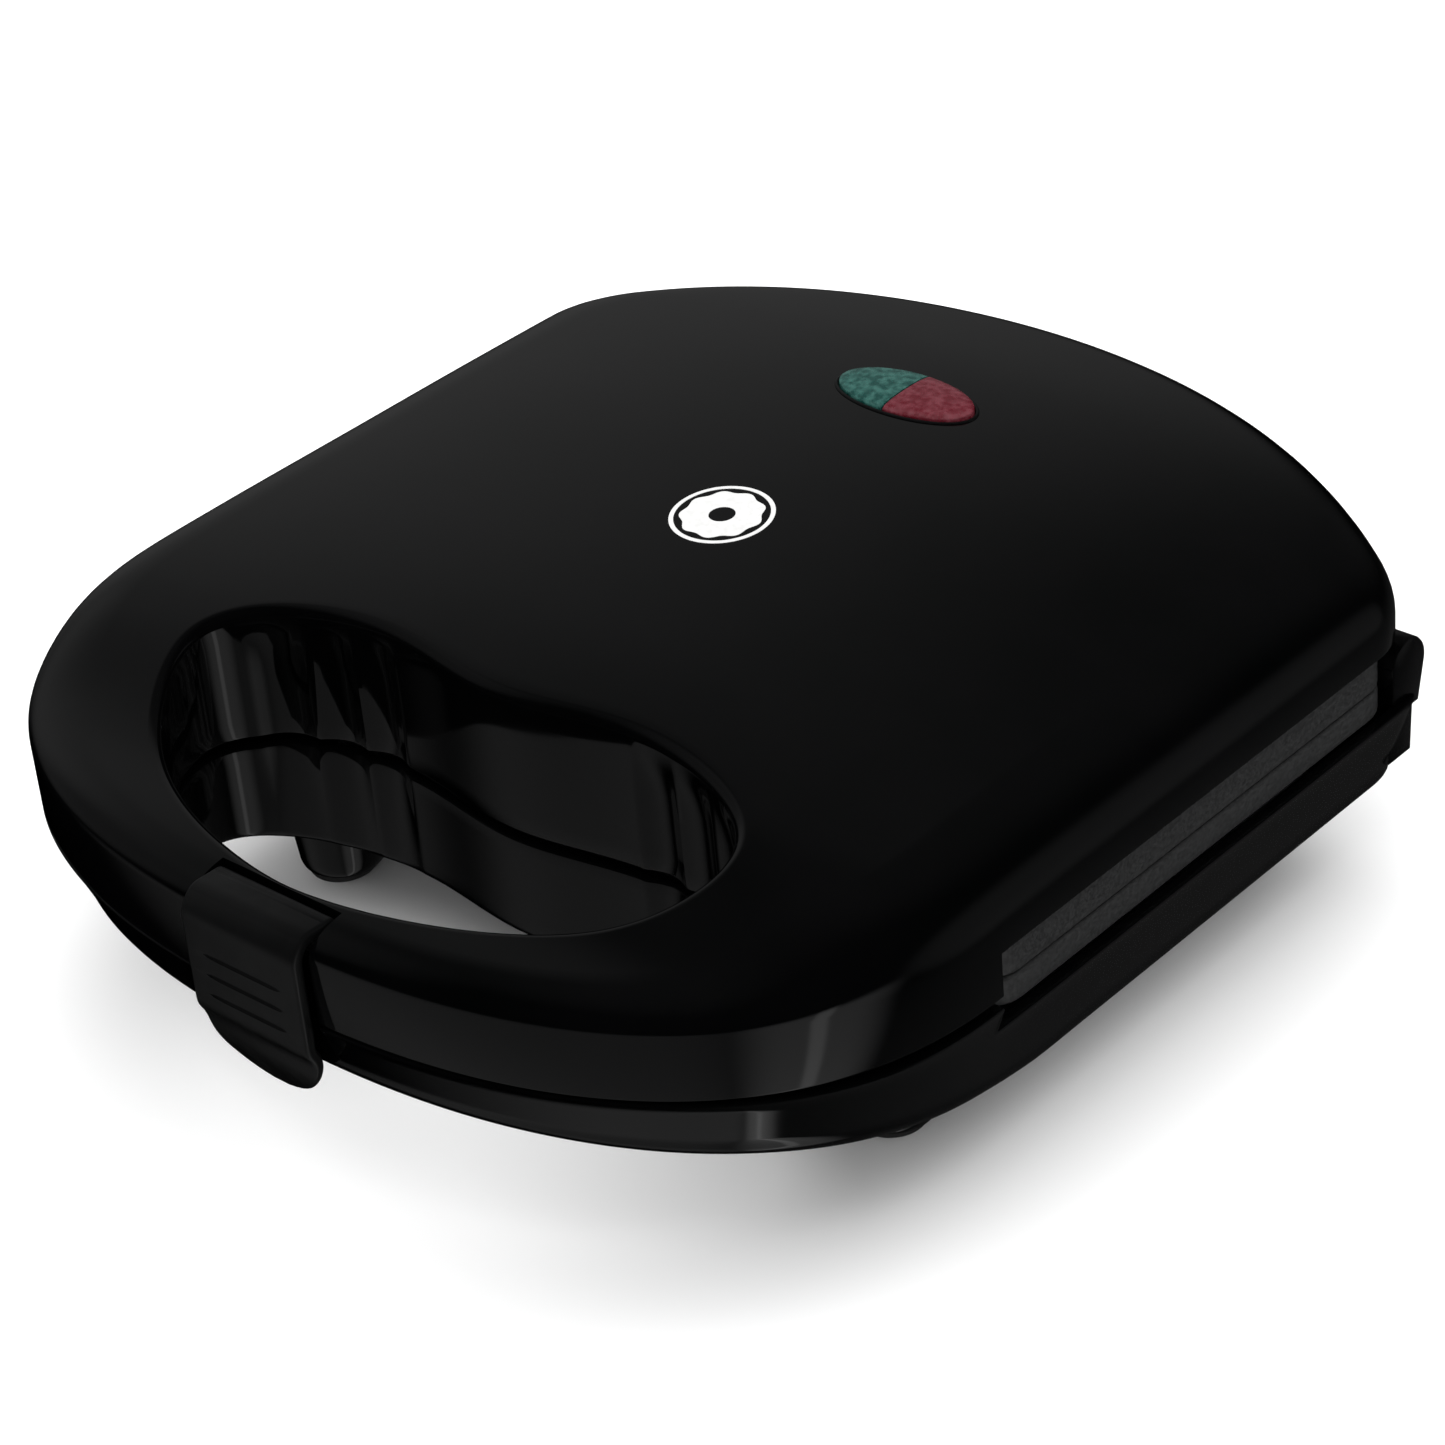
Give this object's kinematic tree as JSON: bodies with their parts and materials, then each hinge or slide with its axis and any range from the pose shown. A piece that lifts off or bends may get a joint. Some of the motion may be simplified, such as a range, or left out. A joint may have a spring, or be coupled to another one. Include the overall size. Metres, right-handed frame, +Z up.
{
  "type": "donut maker",
  "caption": "Compact clam-shell donut maker with loop handle, front latch, domed lid with two-colour lens and cast plates with ring-shaped wells.",
  "frame": {"origin": "under the middle of the object's box, at the level of the surface that the foot pads stand on", "axes": "+X to the user's right, +Y from the handle towards the hinge, +Z up"},
  "size_m": [0.2148, 0.2413, 0.0844],
  "materials": {
    "gloss_black": "high gloss black moulded housing",
    "satin_black": "satin black moulding",
    "nonstick": "dark grey non-stick coating on die-cast aluminium",
    "steel": "bright steel",
    "zinc": "pressed aluminised sheet",
    "rubber": "black rubber",
    "ceramic": "off-white heat-proof moulding",
    "lens_green": "translucent green lens",
    "lens_red": "translucent red lens",
    "lamp_glass": "small neon lamp"
  },
  "bodies": {
    "base": {"base_housing": "gloss_black", "lower_plate": "nonstick", "lower_heating_element": "steel", "lower_heat_shield": "zinc", "thermostat": "ceramic", "thermostat_bracket": "zinc", "thermal_fuse": "steel", "terminal_block": "ceramic", "cord_gland": "rubber", "foot_pad_front_left": "rubber", "foot_pad_front_right": "rubber", "foot_pad_rear_left": "rubber", "foot_pad_rear_right": "rubber", "lower_plate_screw_1": "steel", "lower_plate_screw_2": "steel", "lower_plate_screw_3": "steel", "lower_plate_screw_4": "steel", "hinge_pin_left": "steel", "hinge_pin_right": "steel"},
    "lid": {"lid_housing": "gloss_black", "upper_plate": "nonstick", "upper_heating_element": "steel", "upper_heat_shield": "zinc", "lens_green": "lens_green", "lens_red": "lens_red", "lamp_holder": "ceramic", "lamp_green": "lamp_glass", "lamp_red": "lamp_glass", "lid_rear_cover": "satin_black", "latch_pin": "steel", "upper_plate_screw_1": "steel", "upper_plate_screw_2": "steel", "upper_plate_screw_3": "steel", "upper_plate_screw_4": "steel", "cover_screw_left": "steel", "cover_screw_right": "steel"},
    "latch": {"latch": "satin_black"}
  },
  "joints": [
    {"name": "lid_hinge", "type": "hinge", "parent": "base", "child": "lid", "pos_m": [0, 0.0852, 0.0456], "axis": [-1, 0, 0], "range_deg": [0, 100]},
    {"name": "latch_pivot", "type": "hinge", "parent": "lid", "child": "latch", "pos_m": [0, -0.1128, 0.0626], "axis": [-1, 0, 0], "range_deg": [0, 60]}
  ]
}
